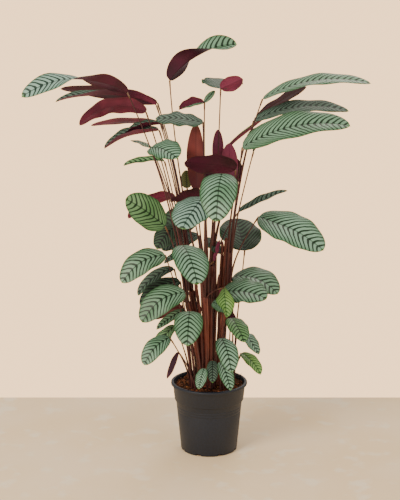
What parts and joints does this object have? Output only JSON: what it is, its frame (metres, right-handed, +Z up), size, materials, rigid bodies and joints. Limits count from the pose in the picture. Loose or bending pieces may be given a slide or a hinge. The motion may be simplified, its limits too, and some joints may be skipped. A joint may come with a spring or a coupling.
{
  "type": "potted_house_plant",
  "caption": "Tall ctenanthe house plant: long feather-striped leaves, burgundy beneath, fan out on thin stalks from canes in a round black nursery pot.",
  "frame": {"origin": "centre of the pot's flat underside, on the surface it stands on", "axes": "+Z up along the plant, -Y towards the front, +X to the right seen from the front"},
  "size_m": [0.9146, 0.4218, 1.1428],
  "materials": {
    "pot_plastic": "matt charcoal black moulded polypropylene with a faint sheen",
    "potting_mix": "coarse damp peat and bark, dull, dark brown with orange-brown chips",
    "cane": "smooth reddish brown sheathed cane, streaked lengthwise, satin",
    "leaf": "satin leaf, silvery green with dark feather stripes above, burgundy beneath, on a maroon stalk"
  },
  "bodies": {
    "root": {"pot": "pot_plastic", "soil": "potting_mix", "cane_left_front": "cane", "cane_left_back": "cane", "cane_middle_left": "cane", "cane_middle_front": "cane", "cane_middle_back": "cane", "cane_right_front": "cane", "cane_right_back": "cane", "leaf_upper_left_1": "leaf", "leaf_upper_left_2": "leaf", "leaf_upper_left_3": "leaf", "leaf_upper_left_4": "leaf", "leaf_upper_left_5": "leaf", "leaf_upper_left_6": "leaf", "leaf_upper_left_7": "leaf", "leaf_upper_left_8": "leaf", "leaf_upper_left_9": "leaf", "leaf_top_1": "leaf", "leaf_top_2": "leaf", "leaf_top_3": "leaf", "leaf_top_4": "leaf", "leaf_centre_1": "leaf", "leaf_centre_2": "leaf", "leaf_centre_3": "leaf", "leaf_centre_4": "leaf", "leaf_centre_5": "leaf", "leaf_upper_right_1": "leaf", "leaf_upper_right_2": "leaf", "leaf_upper_right_3": "leaf", "leaf_upper_right_4": "leaf", "leaf_upper_right_5": "leaf", "leaf_right_1": "leaf", "leaf_right_2": "leaf", "leaf_right_3": "leaf", "leaf_right_4": "leaf", "leaf_right_5": "leaf", "leaf_right_6": "leaf", "leaf_right_7": "leaf", "leaf_right_8": "leaf", "leaf_right_9": "leaf", "leaf_right_10": "leaf", "leaf_right_11": "leaf", "leaf_right_12": "leaf", "leaf_front_1": "leaf", "leaf_front_2": "leaf", "leaf_front_3": "leaf", "leaf_left_1": "leaf", "leaf_left_2": "leaf", "leaf_left_3": "leaf", "leaf_left_4": "leaf", "leaf_left_5": "leaf", "leaf_left_6": "leaf", "leaf_left_7": "leaf", "leaf_left_8": "leaf", "leaf_left_9": "leaf", "leaf_left_10": "leaf", "leaf_left_11": "leaf", "leaf_left_12": "leaf", "leaf_left_13": "leaf"}
  },
  "joints": []
}
